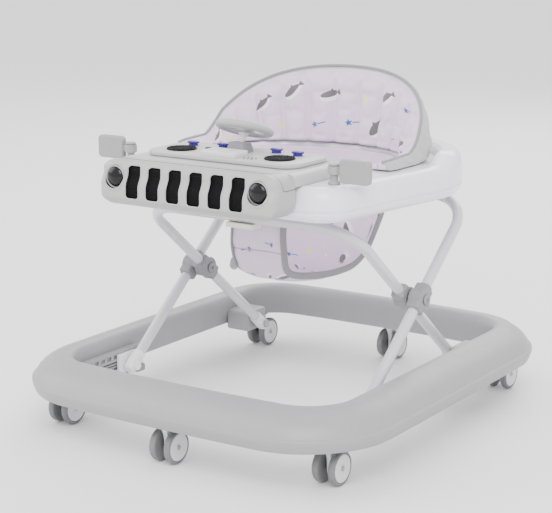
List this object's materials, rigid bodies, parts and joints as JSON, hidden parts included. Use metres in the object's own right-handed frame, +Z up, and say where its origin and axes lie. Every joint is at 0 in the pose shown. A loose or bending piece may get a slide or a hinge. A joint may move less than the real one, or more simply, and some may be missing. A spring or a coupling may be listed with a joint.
{
  "type": "baby walker",
  "caption": "Baby walker: a wheeled base ring, a folding scissor frame of bent tubes, a play tray shaped like a car front with a toy steering wheel, and a padded fabric seat.",
  "frame": {"origin": "on the floor, under the middle of the whole walker's outline", "axes": "+Z up, +Y towards the rear of the seat, so the car front faces -Y; +X is the side on the left of someone who looks at the car front"},
  "size_m": [0.594, 0.688, 0.505],
  "materials": {
    "ring_plastic": "fine-grained satin moulding, light grey",
    "grey_plastic": "satin moulding, pale grey",
    "white_plastic": "satin moulding, off-white",
    "wheel_plastic": "satin moulding, mid grey",
    "hinge_plastic": "satin moulding, mid grey",
    "tray_plastic": "polished moulding, white with a lilac tint",
    "cream_plastic": "satin moulding, cream",
    "black_plastic": "polished moulding, black",
    "button_plastic": "polished moulding, violet blue",
    "frame_paint": "smooth baked paint, pale lilac grey",
    "steel": "plain turned steel",
    "seat_fabric": "woven polyester over light wadding, pale pink-lilac"
  },
  "bodies": {
    "base": {"base_ring": "ring_plastic", "rack_left": "ring_plastic", "rack_right": "ring_plastic", "rear_bracket_left": "grey_plastic", "rear_bracket_right": "grey_plastic", "rear_pin_left": "steel", "rear_pin_right": "steel"},
    "inner_frame": {"inner_leg_frame": "frame_paint", "inner_hinge_block_left": "hinge_plastic", "inner_hinge_block_right": "hinge_plastic"},
    "outer_frame": {"outer_leg_frame": "frame_paint", "outer_hinge_block_left": "hinge_plastic", "outer_hinge_block_right": "hinge_plastic", "scissor_pin_left": "steel", "scissor_pin_right": "steel"},
    "shoe_body_left": {"shoe_left": "white_plastic"},
    "shoe_body_right": {"shoe_right": "white_plastic"},
    "latch_body_left": {"latch_left": "hinge_plastic"},
    "latch_body_right": {"latch_right": "hinge_plastic"},
    "tray": {"tray_shell": "tray_plastic", "front_track": "cream_plastic", "fascia": "grey_plastic", "grille_insert": "black_plastic", "headlight_left": "black_plastic", "headlight_right": "black_plastic", "hood": "grey_plastic", "console": "grey_plastic", "drum_pad_left": "black_plastic", "drum_pad_right": "black_plastic", "steering_boot": "hinge_plastic", "mirror_post_left": "grey_plastic", "mirror_post_right": "grey_plastic", "seat_sling": "seat_fabric", "backrest_pad": "seat_fabric"},
    "steering": {"steering_wheel": "grey_plastic"},
    "horn": {"horn_button": "grey_plastic"},
    "mirror_body_left": {"mirror_left": "grey_plastic"},
    "mirror_body_right": {"mirror_right": "grey_plastic"},
    "fork_front_left": {"caster_fork_front_left": "white_plastic"},
    "wheel_front_left_left": {"caster_wheel_front_left_left": "wheel_plastic"},
    "wheel_front_left_right": {"caster_wheel_front_left_right": "wheel_plastic"},
    "fork_front_middle": {"caster_fork_front_middle": "white_plastic"},
    "wheel_front_middle_left": {"caster_wheel_front_middle_left": "wheel_plastic"},
    "wheel_front_middle_right": {"caster_wheel_front_middle_right": "wheel_plastic"},
    "fork_front_right": {"caster_fork_front_right": "white_plastic"},
    "wheel_front_right_left": {"caster_wheel_front_right_left": "wheel_plastic"},
    "wheel_front_right_right": {"caster_wheel_front_right_right": "wheel_plastic"},
    "fork_rear_left": {"caster_fork_rear_left": "white_plastic"},
    "wheel_rear_left_left": {"caster_wheel_rear_left_left": "wheel_plastic"},
    "wheel_rear_left_right": {"caster_wheel_rear_left_right": "wheel_plastic"},
    "fork_rear_middle": {"caster_fork_rear_middle": "white_plastic"},
    "wheel_rear_middle_left": {"caster_wheel_rear_middle_left": "wheel_plastic"},
    "wheel_rear_middle_right": {"caster_wheel_rear_middle_right": "wheel_plastic"},
    "fork_rear_right": {"caster_fork_rear_right": "white_plastic"},
    "wheel_rear_right_left": {"caster_wheel_rear_right_left": "wheel_plastic"},
    "wheel_rear_right_right": {"caster_wheel_rear_right_right": "wheel_plastic"},
    "press_melody_button_left": {"melody_button_left": "button_plastic"},
    "press_lamp_button_left": {"lamp_button_left": "button_plastic"},
    "press_lamp_button_right": {"lamp_button_right": "button_plastic"},
    "press_melody_button_right": {"melody_button_right": "button_plastic"}
  },
  "joints": [
    {"name": "fold", "type": "hinge", "parent": "base", "child": "inner_frame", "pos_m": [0, 0.187, 0.062], "axis": [1, 0, 0], "range_deg": [0, 31]},
    {"name": "scissor", "type": "hinge", "parent": "inner_frame", "child": "outer_frame", "pos_m": [0, 0.029, 0.18995], "axis": [1, 0, 0], "range_deg": [-62, 0]},
    {"name": "tray_level", "type": "hinge", "parent": "outer_frame", "child": "tray", "pos_m": [0, 0.18341, 0.31499], "axis": [1, 0, 0], "range_deg": [0, 31]},
    {"name": "shoe_level_left", "type": "hinge", "parent": "outer_frame", "child": "shoe_body_left", "pos_m": [-0.205, -0.129, 0.062], "axis": [1, 0, 0], "range_deg": [0, 31]},
    {"name": "latch_press_left", "type": "slide", "parent": "shoe_body_left", "child": "latch_body_left", "axis": [1, 0, 0], "range_m": [0, 0.003], "stiffness_N_per_m": 300, "springref_m": -0.001},
    {"name": "shoe_level_right", "type": "hinge", "parent": "outer_frame", "child": "shoe_body_right", "pos_m": [0.205, -0.129, 0.062], "axis": [1, 0, 0], "range_deg": [0, 31]},
    {"name": "latch_press_right", "type": "slide", "parent": "shoe_body_right", "child": "latch_body_right", "axis": [-1, 0, 0], "range_m": [0, 0.003], "stiffness_N_per_m": 300, "springref_m": -0.001},
    {"name": "swivel_front_left", "type": "hinge", "parent": "base", "child": "fork_front_left", "pos_m": [-0.23, -0.258, 0.06], "axis": [0, 0, 1], "continuous": true},
    {"name": "spin_front_left_left", "type": "hinge", "parent": "fork_front_left", "child": "wheel_front_left_left", "pos_m": [-0.2425, -0.252, 0.024], "axis": [1, 0, 0], "continuous": true},
    {"name": "spin_front_left_right", "type": "hinge", "parent": "fork_front_left", "child": "wheel_front_left_right", "pos_m": [-0.2175, -0.252, 0.024], "axis": [1, 0, 0], "continuous": true},
    {"name": "swivel_front_middle", "type": "hinge", "parent": "base", "child": "fork_front_middle", "pos_m": [0, -0.311, 0.06], "axis": [0, 0, 1], "continuous": true},
    {"name": "spin_front_middle_left", "type": "hinge", "parent": "fork_front_middle", "child": "wheel_front_middle_left", "pos_m": [-0.0125, -0.305, 0.024], "axis": [1, 0, 0], "continuous": true},
    {"name": "spin_front_middle_right", "type": "hinge", "parent": "fork_front_middle", "child": "wheel_front_middle_right", "pos_m": [0.0125, -0.305, 0.024], "axis": [1, 0, 0], "continuous": true},
    {"name": "swivel_front_right", "type": "hinge", "parent": "base", "child": "fork_front_right", "pos_m": [0.23, -0.258, 0.06], "axis": [0, 0, 1], "continuous": true},
    {"name": "spin_front_right_left", "type": "hinge", "parent": "fork_front_right", "child": "wheel_front_right_left", "pos_m": [0.2175, -0.252, 0.024], "axis": [1, 0, 0], "continuous": true},
    {"name": "spin_front_right_right", "type": "hinge", "parent": "fork_front_right", "child": "wheel_front_right_right", "pos_m": [0.2425, -0.252, 0.024], "axis": [1, 0, 0], "continuous": true},
    {"name": "swivel_rear_left", "type": "hinge", "parent": "base", "child": "fork_rear_left", "pos_m": [-0.23, 0.258, 0.06], "axis": [0, 0, 1], "continuous": true},
    {"name": "spin_rear_left_left", "type": "hinge", "parent": "fork_rear_left", "child": "wheel_rear_left_left", "pos_m": [-0.2425, 0.264, 0.024], "axis": [1, 0, 0], "continuous": true},
    {"name": "spin_rear_left_right", "type": "hinge", "parent": "fork_rear_left", "child": "wheel_rear_left_right", "pos_m": [-0.2175, 0.264, 0.024], "axis": [1, 0, 0], "continuous": true},
    {"name": "swivel_rear_middle", "type": "hinge", "parent": "base", "child": "fork_rear_middle", "pos_m": [0, 0.311, 0.06], "axis": [0, 0, 1], "continuous": true},
    {"name": "spin_rear_middle_left", "type": "hinge", "parent": "fork_rear_middle", "child": "wheel_rear_middle_left", "pos_m": [-0.0125, 0.317, 0.024], "axis": [1, 0, 0], "continuous": true},
    {"name": "spin_rear_middle_right", "type": "hinge", "parent": "fork_rear_middle", "child": "wheel_rear_middle_right", "pos_m": [0.0125, 0.317, 0.024], "axis": [1, 0, 0], "continuous": true},
    {"name": "swivel_rear_right", "type": "hinge", "parent": "base", "child": "fork_rear_right", "pos_m": [0.23, 0.258, 0.06], "axis": [0, 0, 1], "continuous": true},
    {"name": "spin_rear_right_left", "type": "hinge", "parent": "fork_rear_right", "child": "wheel_rear_right_left", "pos_m": [0.2175, 0.264, 0.024], "axis": [1, 0, 0], "continuous": true},
    {"name": "spin_rear_right_right", "type": "hinge", "parent": "fork_rear_right", "child": "wheel_rear_right_right", "pos_m": [0.2425, 0.264, 0.024], "axis": [1, 0, 0], "continuous": true},
    {"name": "steer", "type": "hinge", "parent": "tray", "child": "steering", "pos_m": [0, -0.131, 0.4094], "axis": [0, 0.342, 0.9397], "continuous": true},
    {"name": "horn_press", "type": "slide", "parent": "steering", "child": "horn", "axis": [0, -0.342, -0.9397], "range_m": [0, 0.002], "stiffness_N_per_m": 200, "springref_m": -0.001},
    {"name": "press_melody_button_left", "type": "slide", "parent": "tray", "child": "press_melody_button_left", "axis": [0, 0, -1], "range_m": [0, 0.002], "stiffness_N_per_m": 200, "springref_m": -0.001},
    {"name": "press_lamp_button_left", "type": "slide", "parent": "tray", "child": "press_lamp_button_left", "axis": [0, 0, -1], "range_m": [0, 0.002], "stiffness_N_per_m": 200, "springref_m": -0.001},
    {"name": "press_lamp_button_right", "type": "slide", "parent": "tray", "child": "press_lamp_button_right", "axis": [0, 0, -1], "range_m": [0, 0.002], "stiffness_N_per_m": 200, "springref_m": -0.001},
    {"name": "press_melody_button_right", "type": "slide", "parent": "tray", "child": "press_melody_button_right", "axis": [0, 0, -1], "range_m": [0, 0.002], "stiffness_N_per_m": 200, "springref_m": -0.001},
    {"name": "mirror_turn_left", "type": "hinge", "parent": "tray", "child": "mirror_body_left", "pos_m": [-0.174, -0.16, 0.403], "axis": [0, 0, 1], "range_deg": [-35, 35]},
    {"name": "mirror_turn_right", "type": "hinge", "parent": "tray", "child": "mirror_body_right", "pos_m": [0.174, -0.16, 0.403], "axis": [0, 0, 1], "range_deg": [-35, 35]}
  ],
  "couplings": [
    {"joint": "scissor", "follows": "fold", "ratio": -2},
    {"joint": "tray_level", "follows": "fold", "ratio": 1},
    {"joint": "shoe_level_left", "follows": "fold", "ratio": 1},
    {"joint": "shoe_level_right", "follows": "fold", "ratio": 1}
  ]
}
